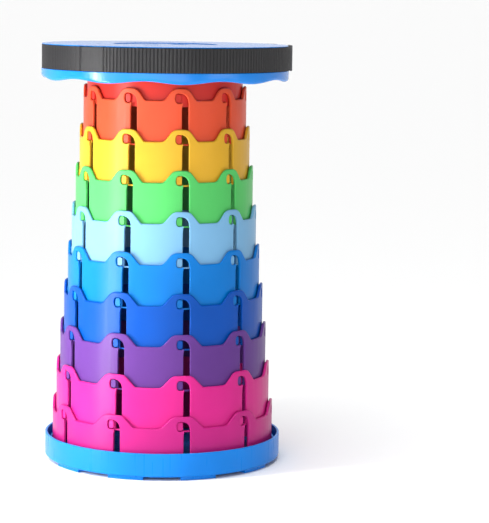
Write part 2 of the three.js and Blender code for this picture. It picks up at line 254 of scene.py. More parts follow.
# Worked out from the frame and the sizes above
seat_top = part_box("seat_cover")[1].z / MM
core_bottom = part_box("core_tube")[0].z / MM
core_radius = first_ring_radius - ring_wall - ring_gap
plate_bottom = seat_top - seat_plate
floor_top = foot_height + floor_thickness
groove_top = seat_top - seat_lip_height
groove_bottom = groove_top - belt_width - 2 * clearance
groove_radius = belt_radius - clearance
belt_middle = (groove_top + groove_bottom) / 2
cap_top = seat_top - cap_recess
cap_bottom = cap_top - cap_plate

# Colours as they look in daylight, each channel from 0 to 255
azure = (12, 120, 208)
ring_colours = (
    (210, 75, 44), (209, 160, 42), (78, 182, 93), (112, 163, 200), (2, 109, 188),
    (1, 71, 160), (90, 50, 126), (195, 32, 124), (177, 30, 116),
)
ring_slots = (
    "red_orange_plastic", "yellow_plastic", "green_plastic", "light_blue_plastic",
    "sky_blue_plastic", "royal_blue_plastic", "purple_plastic", "magenta_plastic",
    "magenta_plastic",
)
core_red = (193, 43, 35)
webbing_dark = (8, 8, 10)
webbing_light = (31, 28, 33)
buckle_grey = (92, 92, 96)
steel_grey = (196, 198, 202)
full_channel = 255

# Finishes
plastic_ior = 1.49
plastic_grain_depth = 0.02
weave_depth = 0.12
steel_mark_depth = 0.01
# Noise patterns, by about how many of their spots lie in a metre
cloud_scale = 14
rub_scale = 260
grain_scale = 1900
fuzz_scale = 900
wear_scale = 30
mark_scale = 1400
noise_low, noise_high = 0.3, 0.7  # most of a pattern's values lie between
upright_rubs = (1, 1, 0.04)
upright_marks = (1, 1, 0.2)
# Lightness and roughness, each as a pair that a pattern mixes
plastic_lightness = (0.93, 1.04)
plastic_roughness_change = (-0.05, 0.07)
webbing_roughness = (0.48, 0.66)
steel_lightness = (0.85, 1)
steel_roughness = (0.25, 0.42)

# Floor, in metres, and lights
floor_size = 400
floor_white = 0.9
floor_roughness = 0.9
front_light = 0.04
back_light = 1.05
# How far back a direction points, from -1 to 1, where the light starts to grow and is full
back_light_from = 0
back_light_full = 0.9
sun_light = 2.6
sun_tilt = (10, -8)
sun_spread = 60
# name, azimuth, then in metres distance, height of the middle, width and height, and the power
soft_boxes = (
    ("broad_box", -6, 1.5, 0.6, 1.5, 1.15, 14.2),
    ("tall_box", -56, 0.385, 0.21, 0.05, 0.41, 2.6),
    ("left_strip", -54, 1.1, 0.37, 0.7, 0.16, 1.2),
    ("right_strip", 51, 1.2, 0.37, 0.6, 0.18, 1.1),
)

# The photograph's viewpoint
camera_place = (0, -2175.6, 477.5)
camera_yaw = 2.177
camera_pitch = -7.196
camera_roll = 0.762
camera_focal = 2142.1  # in the photograph's pixels
camera_reach = 500  # in metres
picture_height = 523  # in the photograph's pixels
sensor = 36


def ring_radius(k):
    return first_ring_radius + (k - 1) * (ring_wall + ring_gap)


def ring_slot_angle(k):
    return slot_angle + (ring_count - k) * slot_turn


def ring_bottom(k):
    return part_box(f"ring_{k}")[0].z / MM


# Drawing and shaping, as a model maker works at the bench


def alone(piece):
    """Selects this piece only."""
    bpy.ops.object.select_all(action="DESELECT")
    piece.select_set(True)
    bpy.context.view_layer.objects.active = piece


def begin(name):
    """A new empty piece, open for editing."""
    bpy.ops.object.select_all(action="DESELECT")
    bpy.ops.mesh.primitive_plane_add(size=MM, enter_editmode=True)
    bpy.ops.mesh.delete(type="VERT")
    piece = bpy.context.active_object
    piece.name = name
    return piece


def draw(points):
    """Draws a line through points in millimetres, and leaves it selected."""
    here = Vector(points[0]) * MM
    bpy.ops.mesh.select_all(action="DESELECT")
    bpy.ops.mesh.primitive_plane_add(size=MM, location=here)
    bpy.ops.mesh.merge(type="CENTER")
    for point in points[1:]:
        there = Vector(point) * MM
        bpy.ops.mesh.extrude_region_move(TRANSFORM_OT_translate={"value": there - here})
        here = there
    bpy.ops.mesh.select_linked()


def curve(start, bend, end, steps):
    """Points from start to end on a curve that leans towards bend."""
    start, bend, end = Vector(start), Vector(bend), Vector(end)
    shares = [i / steps for i in range(steps + 1)]
    return [start.lerp(bend, t).lerp(bend.lerp(end, t), t) for t in shares]


def rounded(corners, steps=corner_steps):
    """The points of a closed outline; a corner is (x, z) or (x, z, radius)."""
    points = []
    for i, corner in enumerate(corners):
        at = Vector(corner[:2])
        if len(corner) == 2:
            points.append(at)
            continue
        back = (Vector(corners[i - 1][:2]) - at).normalized()
        on = (Vector(corners[(i + 1) % len(corners)][:2]) - at).normalized()
        reach = corner[2] / math.tan(back.angle(on) / 2)
        points += curve(at + back * reach, at, at + on * reach, steps)
    return points


def upright(points, depth=0):
    """Flat outline points (x, z) set upright at a depth from the front."""
    return [(x, depth, z) for x, z in points]


def oblong(left, right, low, high, *rounding):
    """An upright oblong's outline. Its corners are round if a radius is given."""
    return rounded([
        (left, low, *rounding), (right, low, *rounding),
        (right, high, *rounding), (left, high, *rounding),
    ])


def plate(name, outline, front, back):
    """A flat piece: a filled outline pushed from one depth to another."""
    piece = begin(name)
    draw(upright(outline, front))
    bpy.ops.mesh.edge_face_add()
    bpy.ops.mesh.extrude_region_move(TRANSFORM_OT_translate={"value": (0, (back - front) * MM, 0)})
    finish_mesh()
    return piece


def radial_rib(inner, outer, low, high, thickness, angle):
    """A straight rib that runs out from the axis at an angle."""
    rib = plate("rib", oblong(inner, outer, low, high), 0, thickness)
    rounded_edges(rib, rib_edge, small_edge_steps)
    return placed(rib, angle - 90, (0, -thickness / 2, 0))


def finish_mesh():
    """Welds, turns the faces outwards and leaves edit mode."""
    bpy.ops.mesh.select_all(action="SELECT")
    bpy.ops.mesh.remove_doubles(threshold=weld_distance * MM)
    bpy.ops.mesh.normals_make_consistent(inside=False)
    bpy.ops.object.mode_set(mode="OBJECT")


def shaped(piece, kind, **settings):
    """Adds a modifier and applies it."""
    alone(piece)
    modifier = piece.modifiers.new(kind.title(), kind)
    for key, value in settings.items():
        setattr(modifier, key, value)
    bpy.ops.object.modifier_apply(modifier=modifier.name)
    return piece


def rounded_edges(piece, width, segments=edge_steps):
    return shaped(
        piece, "BEVEL", width=width * MM, segments=segments, limit_method="ANGLE",
        angle_limit=math.radians(edge_angle), use_clamp_overlap=False,
    )


def carved(piece, cutter):
    """Cuts one piece out of another, and throws the cutter away."""
    shaped(piece, "BOOLEAN", operation="DIFFERENCE", object=cutter, solver="MANIFOLD")
    bpy.data.objects.remove(cutter)
    return piece


def grown(piece, *others):
    """Makes the others part of the piece, as one closed skin."""
    for other in others:
        shaped(piece, "BOOLEAN", operation="UNION", object=other, solver="MANIFOLD")
        bpy.data.objects.remove(other)
    return piece


def sliced(place):
    """Cuts across at a place along the outline."""
    bpy.ops.mesh.select_all(action="SELECT")
    bpy.ops.mesh.bisect(plane_co=(place * MM, 0, 0), plane_no=(1, 0, 0), use_fill=False)


def bent(piece, radius):
    """Bends a flat upright piece round the axis, so that its front lies at the radius."""
    across = [corner[0] for corner in piece.bound_box]
    angle = (max(across) - min(across)) / (radius * MM)
    shaped(piece, "SIMPLE_DEFORM", deform_method="BEND", deform_axis="Z", angle=angle)
    bpy.ops.object.mode_set(mode="EDIT")
    bpy.ops.mesh.select_all(action="SELECT")
    bpy.ops.transform.translate(value=(0, -radius * MM, 0))
    bpy.ops.object.mode_set(mode="OBJECT")
    return piece


def repeated(piece, count):
    """Copies the piece's mesh round the axis and welds the copies together."""
    alone(piece)
    bpy.ops.object.mode_set(mode="EDIT")
    bpy.ops.mesh.select_all(action="SELECT")
    bpy.ops.mesh.spin(
        steps=count - 1, dupli=True, angle=2 * math.pi * (count - 1) / count,
        center=(0, 0, 0), axis=(0, 0, 1),
    )
    finish_mesh()
    return piece


def turn(profile, start=0.0, sweep=360.0, steps=round_steps):
    """Turns a closed profile of (radius, height) points round the axis."""
    side, ahead = math.sin(math.radians(start)), -math.cos(math.radians(start))
    closed = [*profile, profile[0]]
    draw([(radius * side, radius * ahead, height) for radius, height in closed])
    bpy.ops.mesh.remove_doubles(threshold=weld_distance * MM)
    bpy.ops.mesh.spin(
        steps=steps, angle=math.radians(sweep), center=(0, 0, 0), axis=(0, 0, 1)
    )


def turned(name, profile, steps=round_steps, start=0):
    piece = begin(name)
    turn(profile, start=start, steps=steps)
    finish_mesh()
    return piece


def copied(piece, name):
    """A copy with a mesh of its own."""
    copy = piece.copy()
    copy.data = piece.data.copy()
    copy.name = name
    bpy.context.collection.objects.link(copy)
    return copy


def placed(piece, angle=0.0, offset=(0, 0, 0)):
    """Moves and then turns a piece round the axis, and keeps its object at the origin."""
    turned_by = Matrix.Rotation(math.radians(angle), 4, "Z")
    piece.matrix_world = turned_by @ Matrix.Translation(Vector(offset) * MM)
    alone(piece)
    bpy.ops.object.transform_apply(location=True, rotation=True, scale=True)
    return piece


def faces_where(piece, test):
    """Selects the faces whose middle passes the test, and opens the piece for editing."""
    alone(piece)
    bpy.ops.object.mode_set(mode="EDIT")
    bpy.ops.mesh.select_mode(type="FACE")
    bpy.ops.mesh.select_all(action="DESELECT")
    bpy.ops.object.mode_set(mode="OBJECT")
    for face in piece.data.polygons:
        face.select = test(face.center / MM)
    bpy.ops.object.mode_set(mode="EDIT")


def corners_where(piece, test):
    """Selects the corners whose place passes the test, and opens the piece for editing."""
    alone(piece)
    bpy.ops.object.mode_set(mode="EDIT")
    bpy.ops.mesh.select_mode(type="VERT")
    bpy.ops.mesh.select_all(action="DESELECT")
    bpy.ops.object.mode_set(mode="OBJECT")
    for corner in piece.data.vertices:
        corner.select = test(corner.co / MM)
    bpy.ops.object.mode_set(mode="EDIT")


def around(radius, angle):
    turned_by = math.radians(angle)
    return Vector((radius * math.sin(turned_by), -radius * math.cos(turned_by)))


def angle_of(point):
    return math.degrees(math.atan2(point.x, -point.y))


def dressed(piece, body, material, slot, *nodes):
    """Smooths the piece, gives it its material and ties it to the frame."""
    alone(piece)
    bpy.ops.object.shade_smooth_by_angle(angle=math.radians(smooth_angle))
    shaped(piece, "WEIGHTED_NORMAL", keep_sharp=True, weight=flat_face_weight)
    piece.data.materials.clear()
    piece.data.materials.append(material)
    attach(piece, body)
    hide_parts(*nodes)
    return piece


# Shader maths


class Value:
    """A node's output, on which Python's operators add Math nodes."""

    def __init__(self, nodes, socket):
        self.nodes = nodes
        self.socket = socket

    def _math(self, operation, *values):
        return self.nodes.node(
            "ShaderNodeMath", {"operation": operation}, dict(enumerate(values))
        )

    def __add__(self, other):
        return self._math("ADD", self, other)

    __radd__ = __add__

    def __mul__(self, other):
        return self._math("MULTIPLY", self, other)

    __rmul__ = __mul__

    def wave(self):
        return self._math("SINE", self)


class Nodes:
    """The nodes of a material or of the world."""

    def __init__(self, tree):
        self.tree = tree

    def feed(self, socket, value):
        if isinstance(value, Value):
            self.tree.links.new(value.socket, socket)
        else:
            socket.default_value = value

    def node(self, kind, settings, values, output=0):
        """Adds a node: its settings first, then the values or links of its sockets."""
        node = self.tree.nodes.new(kind)
        for key, value in settings.items():
            setattr(node, key, value)
        for key, value in values.items():
            self.feed(node.inputs[key], value)
        return Value(self, node.outputs[output])


class Finish(Nodes):
    """One material, built node by node."""

    def __init__(self, name):
        self.material = bpy.data.materials.new(name)
        self.material.use_nodes = True
        super().__init__(self.material.node_tree)
        self.shader = self.tree.nodes["Principled BSDF"]

    def set(self, **values):
        """Sets the shader's sockets; an underscore stands for a space."""
        for key, value in values.items():
            self.feed(self.shader.inputs[key.replace("_", " ")], value)

    def place(self):
        return self.node("ShaderNodeTexCoord", {}, {}, "Object")

    def height(self):
        return self.node("ShaderNodeSeparateXYZ", {}, {"Vector": self.place()}, "Z")

    def noise(self, scale, detail=2.0, stretch=(1, 1, 1), roughness=0.5):
        place = self.node("ShaderNodeMapping", {}, {"Vector": self.place(), "Scale": stretch})
        return self.node(
            "ShaderNodeTexNoise", {},
            {"Vector": place, "Scale": scale, "Detail": detail, "Roughness": roughness},
        )

    def mix(self, share, first, second):
        """A colour between two colours, by the Mix node's own colour sockets."""
        return self.node(
            "ShaderNodeMix", {"data_type": "RGBA"}, {0: share, 6: first, 7: second}, 2
        )

    def between(self, value, low, high, to_low, to_high):
        """Maps a value from one range to another, held at the ends."""
        return self.node(
            "ShaderNodeMapRange", {},
            {"Value": value, "From Min": low, "From Max": high, "To Min": to_low,
             "To Max": to_high},
        )

    def bump(self, height, distance, strength=1.0):
        return self.node(
            "ShaderNodeBump", {},
            {"Height": height, "Distance": distance * MM, "Strength": strength}, "Normal",
        )


def paint(channels, lightness=1.0):
    """A daylight colour as the shader's own linear colour."""
    linear = Color([c / full_channel for c in channels]).from_srgb_to_scene_linear()
    return (*[min(c * lightness, 1) for c in linear], 1)


def moulded_plastic(name, colour, roughness=0.36, gloss=0.17):
    """Satin moulded plastic: faint cloudiness, fine grain and rub marks from sliding."""
    finish = Finish(name)
    cloud = finish.between(finish.noise(cloud_scale, detail=3), 0.35, 0.65, 0, 1)
    rubs = finish.noise(rub_scale, detail=3, stretch=upright_rubs)
    grain = finish.noise(grain_scale, detail=1)
    smoother, rougher = (roughness + change for change in plastic_roughness_change)
    finish.set(
        Base_Color=finish.mix(cloud, *[paint(colour, share) for share in plastic_lightness]),
        Roughness=finish.between(rubs, noise_low, noise_high, smoother, rougher),
        Normal=finish.bump(grain * 0.7 + rubs * 0.3, plastic_grain_depth, 0.2),
        IOR=plastic_ior,
        Specular_IOR_Level=gloss,
    )
    return finish.material


def webbing(name, dark, light):
    """Woven webbing: yarns that cross under and over along the strap."""
    finish = Finish(name)
    along = finish.node("ShaderNodeAttribute", {"attribute_name": "along"}, {}, "Fac")
    rib_turn = 2 * math.pi / (rib_length * MM)
    warp = (along * (2 * math.pi / (rib_length * MM / yarns_per_rib))).wave()
    weft = (finish.height() * (2 * math.pi / (weft_pitch * MM))).wave()
    weave = warp * weft
    valley = (along * rib_turn + 0.5).wave()
    fuzz = finish.noise(fuzz_scale, detail=4, roughness=0.7)
    worn = finish.between(finish.noise(wear_scale, detail=2), noise_low, noise_high, 0, 0.35)
    tone = finish.between(weave * 0.4 + fuzz + valley * 0.25, 0.1, 1.1, 0, 0.8)
    finish.set(
        Base_Color=finish.mix(tone * 0.7 + worn * 0.3, paint(dark), paint(light)),
        Roughness=finish.between(fuzz, noise_low, noise_high, *webbing_roughness),
        Normal=finish.bump(weave * 0.6 + fuzz * 0.4, weave_depth, 0.5),
    )
    return finish.material


def steel(name, colour):
    """Zinc-plated steel with fine turning marks."""
    finish = Finish(name)
    marks = finish.noise(mark_scale, detail=2, stretch=upright_marks)
    finish.set(
        Base_Color=finish.mix(marks, *[paint(colour, share) for share in steel_lightness]),
        Metallic=1.0,
        Roughness=finish.between(marks, noise_low, noise_high, *steel_roughness),
        Normal=finish.bump(marks, steel_mark_depth, 0.4),
    )
    return finish.material


# Rings


def lug(k, height):
    """A lug of ring k, drawn flat. It stands in the pocket of the next ring out."""
    radius = ring_radius(k)
    slot_place = radius * math.radians(ring_slot_angle(k + 1))
    middle = slot_place - pocket_shift * radius / ring_radius(k + 1)
    half, tall = lug_width / 2, lug_height / 2
    outline = oblong(middle - half, middle + half, height - tall, height + tall, lug_corner)
    return rounded_edges(plate("lug", outline, -ring_gap - lug_bite, lug_root), lug_edge)


def arch_corners(side, radius, slot_place, top):
    """The arch's top corner and the valley's corner beside it."""
    middle = slot_place - arch_shift
    crown = middle + side * radius * math.radians(arch_top_angle / 2)
    foot = crown + side * radius * math.radians(arch_shoulder_angle)
    foot_rounding = left_valley_rounding if side < 0 else right_valley_rounding
    return (crown, top, arch_rounding), (foot, top - arch_height, foot_rounding)


def ring_halves(radius, slot_place, bottom):
    """The outlines left and right of the slot. They meet above the hook and below the slot."""
    top = bottom + ring_height
    slot_bottom = bottom + bottom_band
    right = slot_place + slot_width / 2
    left = slot_place - slot_width / 2
    pocket = slot_place - pocket_shift
    pocket_left = pocket - lug_width / 2 - lug_clearance
    pocket_floor = top - lug_drop - lug_height / 2 - lug_clearance
    pocket_middle = top - lug_drop
    head = top - hook_top_drop
    half_segment = radius * math.radians(pitch_angle / 2) + end_spare
    hook = curve((right, top - slot_head_drop), (right, head), (pocket, head), hook_steps)
    split = hook[hook_split]
    left_crown, left_foot = arch_corners(-1, radius, slot_place, top)
    right_crown, right_foot = arch_corners(1, radius, slot_place, top)
    valley = top - arch_height
    pocket_line = [
        *curve((pocket, head), (pocket_left, head), (pocket_left, pocket_middle), pocket_steps),
        *curve((pocket_left, pocket_middle), (pocket_left, pocket_floor),
               (pocket, pocket_floor), pocket_steps)[1:],
        *curve((left - lip_width, pocket_floor), (left, pocket_floor),
               (left, pocket_floor + pocket_lip), lip_steps),
    ]
    left_half = rounded([
        (slot_place, bottom), (slot_place - half_segment, bottom),
        (slot_place - half_segment, valley), left_foot, left_crown,
        (split.x, top), tuple(split), *[tuple(p) for p in hook[hook_split + 1:-1]],
        *[tuple(p) for p in pocket_line], (left, slot_bottom), (slot_place, slot_bottom),
    ])
    right_half = rounded([
        (slot_place, bottom), (slot_place, slot_bottom), (right, slot_bottom),
        *[tuple(p) for p in hook[:hook_split + 1]], (split.x, top), right_crown, right_foot,
        (slot_place + half_segment, valley), (slot_place + half_segment, bottom),
    ])
    return left_half, right_half


def channel_cutter(slot_place, bottom):
    """The shallow channel under the pocket, in which the next ring's lug runs."""
    middle = slot_place - pocket_shift
    half = lug_width / 2 + lug_clearance
    low, high = bottom + bottom_band, bottom + ring_height - lug_drop
    outline = oblong(middle - half, middle + half, low, high)
    return plate("channel", outline, relief_skin, ring_wall + overrun)


def round_rim(ring, slot_place, top):
    """Rounds the arched rim more than the slot and its hook."""
    hook_left = slot_place - pocket_shift - lug_width
    hook_right = slot_place + slot_width
    weights = ring.data.attributes.new("bevel_weight_edge", "FLOAT", "EDGE")
    corners = [corner.co / MM for corner in ring.data.vertices]

    def on_rim(at):
        on_hook = hook_left < at.x < hook_right and at.z < top - hook_top_drop + clearance
        return at.z > top - arch_height - clearance and not on_hook

    for i, edge in enumerate(ring.data.edges):
        ends = [corners[corner] for corner in edge.vertices]
        level = abs(ends[0].y - ends[1].y) < clearance
        weights.data[i].value = 1 if level and all(on_rim(end) for end in ends) else 0
    shaped(
        ring, "BEVEL", width=rim_rounding * MM, segments=rim_steps, limit_method="WEIGHT",
        use_clamp_overlap=False,
    )


def make_ring(k):
    """One slotted ring: a segment is drawn flat, rounded, bent and repeated round the axis."""
    radius, bottom = ring_radius(k), ring_bottom(k)
    slot_place = radius * math.radians(ring_slot_angle(k))
    half_segment = radius * math.radians(pitch_angle / 2)
    ring = begin(f"ring_{k}_shell")
    for half in ring_halves(radius, slot_place, bottom):
        draw(upright(half))
        bpy.ops.mesh.edge_face_add()
    bpy.ops.mesh.select_all(action="SELECT")
    bpy.ops.mesh.remove_doubles(threshold=weld_distance * MM)
    bpy.ops.mesh.extrude_region_move(TRANSFORM_OT_translate={"value": (0, ring_wall * MM, 0)})
    finish_mesh()
    round_rim(ring, slot_place, bottom + ring_height)
    rounded_edges(ring, slot_rounding)
    carved(ring, channel_cutter(slot_place, bottom))
    alone(ring)
    bpy.ops.object.mode_set(mode="EDIT")
    for i in range(ring_columns + 1):
        sliced(slot_place - half_segment + i * 2 * half_segment / ring_columns)
    bpy.ops.object.mode_set(mode="OBJECT")
    grown(ring, lug(k, bottom + ring_height - lug_drop - ring_travel))
    faces_where(ring, lambda centre: abs(centre.x - slot_place) > half_segment - trim_margin)
    bpy.ops.mesh.delete(type="FACE")
    bpy.ops.mesh.select_mode(type="VERT")
    bpy.ops.object.mode_set(mode="OBJECT")
    bent(ring, radius)
    return repeated(ring, segment_count)


# Core tube and screws


def make_core():
    """The innermost tube: plain wall, lugs at its foot, screwed flange inside its top."""
    inner = core_radius - ring_wall
    flange_top = plate_bottom - boss_height - clearance
    flange_bottom = flange_top - flange_thickness
    core = turned("core_shell", [
        (inner, core_bottom), (core_radius, core_bottom),
        (core_radius, plate_bottom - clearance), (inner, plate_bottom - clearance),
        (inner, flange_top), (flange_radius, flange_top),
        (flange_radius, flange_bottom), (inner, flange_bottom),
    ])
    rounded_edges(core, core_edge, small_edge_steps)
    hole = screw_shank + 2 * clearance
    holes = turned("holes", [
        (0, flange_bottom - overrun), (hole, flange_bottom - overrun),
        (hole, flange_top + overrun), (0, flange_top + overrun),
    ], screw_hole_steps)
    placed(holes, screw_angle, (0, -screw_circle, 0))
    carved(core, repeated(holes, screw_count))
    lugs = bent(lug(0, core_bottom + core_lug_height), core_radius)
    return grown(core, repeated(lugs, segment_count))


def make_screw():
    """A pan-head screw at the front, with a cross recess in its head."""
    head_top = plate_bottom - boss_height - clearance - flange_thickness - clearance
    head_bottom = head_top - screw_head_height
    tip = head_top + screw_length
    screw = turned("screw", rounded([
        (0, head_bottom), (screw_head_radius, head_bottom, screw_head_rounding),
        (screw_head_radius, head_top), (screw_shank, head_top),
        (screw_shank, tip - screw_shank / 2), (0, tip),
    ], screw_head_steps), screw_steps)
    placed(screw, 0, (0, -screw_circle, 0))
    arm, slit = screw_socket_radius, screw_socket_radius / 3
    quarter = [Vector((slit, arm)), Vector((-slit, arm)), Vector((-slit, slit))]
    outline = [Matrix.Rotation(math.radians(90 * i), 2) @ at for i in range(4) for at in quarter]
    cross = begin("cross")
    draw([(at.x, at.y - screw_circle, head_bottom - overlap) for at in outline])
    bpy.ops.mesh.edge_face_add()
    deep = screw_socket_depth + overlap
    bpy.ops.mesh.extrude_region_move(TRANSFORM_OT_translate={"value": (0, 0, deep * MM)})
    finish_mesh()
    return carved(screw, cross)


# Base tray


def window_cutters(radius):
    """Cutters for the collar's windows, in which the last ring's lugs stand."""
    half, tall = lug_width / 2 + lug_clearance, lug_height / 2 + lug_clearance
    window_angle = (math.radians(ring_slot_angle(ring_count + 1))
                    - pocket_shift / ring_radius(ring_count + 1))
    middle = radius * window_angle
    height = ring_bottom(ring_count) + ring_height - lug_drop - ring_travel
    outline = oblong(middle - half, middle + half, height - tall, height + tall)
    window = plate("window", outline, -clearance, collar_wall + collar_gap)
    return repeated(bent(window, radius), segment_count)


def make_base():
    """The tray: turned rim, floor and collar, ten feet, a hub and ribs beneath."""
    outer, inner = tray_radius, tray_radius - tray_wall
    collar_inner = ring_radius(ring_count) + collar_gap
    collar_outer = collar_inner + collar_wall
    foot_outer = outer - foot_inset
    foot_inner = foot_outer - foot_width
    foot_middle = slot_angle + foot_shift_angle
    segment_start = foot_middle - pitch_angle / 2
    base = begin("base_shell")
    turn(rounded([
        (0, hub_ground_clearance), (hub_radius, hub_ground_clearance), (hub_radius, foot_height),
        (foot_inner, foot_height), (foot_outer, foot_height),
        (outer, foot_height, tray_rounding), (outer, tray_height),
        (inner, tray_height), (inner, floor_top), (collar_outer, floor_top),
        (collar_outer, collar_top), (collar_inner, collar_top), (collar_inner, floor_top),
        (0, floor_top),
    ]), start=segment_start, sweep=pitch_angle, steps=tray_columns)
    finish_mesh()

    def on_foot(centre):
        from_middle = abs((angle_of(centre) - segment_start) % pitch_angle - pitch_angle / 2)
        low = abs(centre.z - foot_height) < clearance
        out = math.hypot(centre.x, centre.y)
        return low and from_middle < foot_angle / 2 and foot_inner < out < foot_outer

    faces_where(base, on_foot)
    bpy.ops.mesh.extrude_region_move(TRANSFORM_OT_translate={"value": (0, 0, -foot_height * MM)})
    bpy.ops.mesh.select_mode(type="VERT")
    bpy.ops.object.mode_set(mode="OBJECT")
    repeated(base, segment_count)
    rounded_edges(base, tray_edge)
    carved(base, window_cutters(collar_outer))
    rib = radial_rib(
        hub_radius - overlap, foot_inner + overlap, hub_ground_clearance + clearance,
        foot_height + overlap, base_rib_thickness, foot_middle,
    )
    return grown(base, repeated(rib, segment_count))


# Seat cover and cap


def seat_profile(skirt_bottom, recess, recess_outer):
    """The seat's section: socket for the cap, plate, rim with the belt's groove, and skirt."""
    rim_inner = groove_radius - seat_wall
    skirt_inner = seat_radius - seat_wall
    hem = seat_radius - skirt_rounding
    socket_outer = socket_radius + socket_wall
    socket_bottom = seat_top - socket_depth
    ledge_top = cap_bottom - clearance
    ledge_bottom = ledge_top - socket_ledge
    return rounded([
        (socket_radius, socket_bottom), (socket_outer, socket_bottom),
        (socket_outer, ledge_bottom), (recess_outer, ledge_bottom), (recess_outer, plate_bottom),
        (rim_inner, plate_bottom), (rim_inner, groove_bottom),
        (skirt_inner, groove_bottom - seat_wall),
        (skirt_inner, skirt_bottom + seat_wall, skirt_rounding - seat_wall),
        (hem, skirt_bottom + seat_wall, hem_rounding), (hem, skirt_bottom, hem_rounding),
        (seat_radius, skirt_bottom, skirt_rounding - hem_rounding),
        (seat_radius, groove_bottom, shoulder_rounding),
        (groove_radius, groove_bottom, groove_rounding), (groove_radius, groove_top, lip_rounding),
        (seat_lip_radius, groove_top, lip_rounding), (seat_lip_radius, seat_top, seat_rounding),
        (recess, seat_top, recess_rounding), (recess, ledge_top), (socket_radius, ledge_top),
    ])


def wave_skirt(seat, skirt_bottom):
    """Pulls the skirt's edge into waves, one column of corners at a time."""
    step = pitch_angle / seat_columns
    skirt_edge = skirt_bottom + skirt_rounding + clearance
    for i in range(-seat_columns, seat_columns + 1):
        drop = skirt_wave * math.cos(math.radians(segment_count * (i * step - wave_angle)))
        corners_where(seat, lambda at: at.z < skirt_edge and abs(angle_of(at) - i * step) < step / 4)
        bpy.ops.transform.translate(value=(0, 0, -drop * MM))
        bpy.ops.object.mode_set(mode="OBJECT")


def screw_bosses():
    """The bosses under the plate that take the screws."""
    low, high = plate_bottom - boss_height, plate_bottom + overlap
    hole = screw_shank + clearance
    boss = turned("boss", [
        (hole, low), (boss_radius, low), (boss_radius, high), (hole, high),
    ], boss_steps)
    rounded_edges(boss, rib_edge, small_edge_steps)
    placed(boss, screw_angle, (0, -screw_circle, 0))
    return repeated(boss, screw_count)


def make_seat():
    """The seat: plate and rim turned in one, the skirt's edge pulled into waves, ribs beneath."""
    skirt_bottom = seat_top - skirt_depth
    recess = cap_radius + clearance
    recess_outer = recess + socket_wall
    seat = begin("seat_shell")
    turn(seat_profile(skirt_bottom, recess, recess_outer), sweep=pitch_angle, steps=seat_columns)
    bpy.ops.object.mode_set(mode="OBJECT")
    wave_skirt(seat, skirt_bottom)
    repeated(seat, segment_count)
    rib = radial_rib(
        recess_outer - overlap, core_radius - ring_wall - clearance,
        plate_bottom - seat_rib_height, plate_bottom + overlap, seat_rib_thickness,
        screw_angle + 180 / screw_count,
    )
    return grown(seat, screw_bosses(), repeated(rib, screw_count))


def make_cap():
    """The centre cap: a turned disc with a plug rim, and two rimmed finger holes."""
    plug_outer = socket_radius - clearance
    plug_inner = plug_outer - cap_skirt_wall
    plug_bottom = cap_bottom - cap_skirt_depth
    cap = turned("cap_shell", [
        (0, cap_bottom), (plug_inner, cap_bottom), (plug_inner, plug_bottom),
        (plug_outer, plug_bottom), (plug_outer, cap_bottom), (cap_radius, cap_bottom),
        (cap_radius, cap_top), (0, cap_top),
    ], cap_steps)
    rounded_edges(cap, cap_edge)
    rim_bottom = cap_bottom - finger_rim_depth
    rim_outer = finger_hole_radius + finger_rim_wall
    rim_top = cap_bottom + cap_plate / 2
    flare = finger_hole_radius + cap_edge
    beyond = clearance / 3
    for side in (handle_angle, handle_angle + 180):
        rim = turned("rim", [
            (0, rim_bottom), (rim_outer, rim_bottom), (rim_outer, rim_top), (0, rim_top),
        ], finger_rim_steps, finger_rim_start)
        rounded_edges(rim, cap_edge, small_edge_steps)
        grown(cap, placed(rim, side, (0, -finger_hole_spacing / 2, 0)))
        hole = turned("hole", [
            (0, rim_bottom - beyond),
            *curve((flare, rim_bottom - beyond), (finger_hole_radius, rim_bottom),
                   (finger_hole_radius, rim_bottom + cap_edge), corner_steps),
            *curve((finger_hole_radius, cap_top - cap_edge), (finger_hole_radius, cap_top),
                   (flare, cap_top + beyond), corner_steps),
            (0, cap_top + beyond),
        ], finger_hole_steps)
        carved(cap, placed(hole, side, (0, -finger_hole_spacing / 2, 0)))
    return cap


# Webbing


def belt_path():
    """The belt's outer side: once round the groove, then up over itself to a hemmed tip.

    The ribs are strong on the outer turn, faint under it and gone at the tip.
    """
    full = belt_radius + belt_thickness
    turns = 360 + belt_lap_angle
    ribs = round(math.radians(turns) * full / rib_length)
    path = []
    for rib in range(ribs):
        for share, drop in rib_profile:
            run = (rib + share) / ribs * turns
            climb = min(max((run - 360 + belt_ramp_angle) / belt_ramp_angle, 0), 1)
            depth = rib_depth * (first_turn_rib_share if run < 360 else 1)
            if run > turns - belt_tip_angle:
                depth = 0
            if abs(turns - run - belt_hem_angle) < belt_hem_half_angle:
                depth, drop = belt_hem_depth, 1
            radius = full - drop * depth + climb * (belt_thickness + clearance)
            path.append(around(radius, buckle_angle - run))
    return path


def smooth_line(points, steps):
    """A line that passes smoothly through the points."""
    line = []
    for i in range(len(points) - 1):
        before, start = points[max(i - 1, 0)], points[i]
        end, after = points[i + 1], points[min(i + 2, len(points) - 1)]
        for step in range(steps):
            t = step / steps
            line.append(0.5 * (2 * start + (end - before) * t
                               + (2 * before - 5 * start + 4 * end - after) * t * t
                               + (3 * start - before - 3 * end + after) * t ** 3))
    return [*line, points[-1]]


def handle_path():
    """The carry loop: two feet along the rim and a narrow arch between them."""
    foot_radius = belt_radius + belt_thickness + clearance + belt_thickness / 2
    arch = [Vector((across * handle_span / 2, -(foot_radius + out * handle_reach)))
            for across, out in handle_path_shares]
    ends = [around(foot_radius, -angle) for angle in handle_foot_angles]
    other_ends = [around(foot_radius, angle) for angle in reversed(handle_foot_angles)]
    line = smooth_line([*ends, *arch, *other_ends], handle_steps)
    turned_by = Matrix.Rotation(math.radians(handle_angle), 2)
    return [turned_by @ point for point in line]


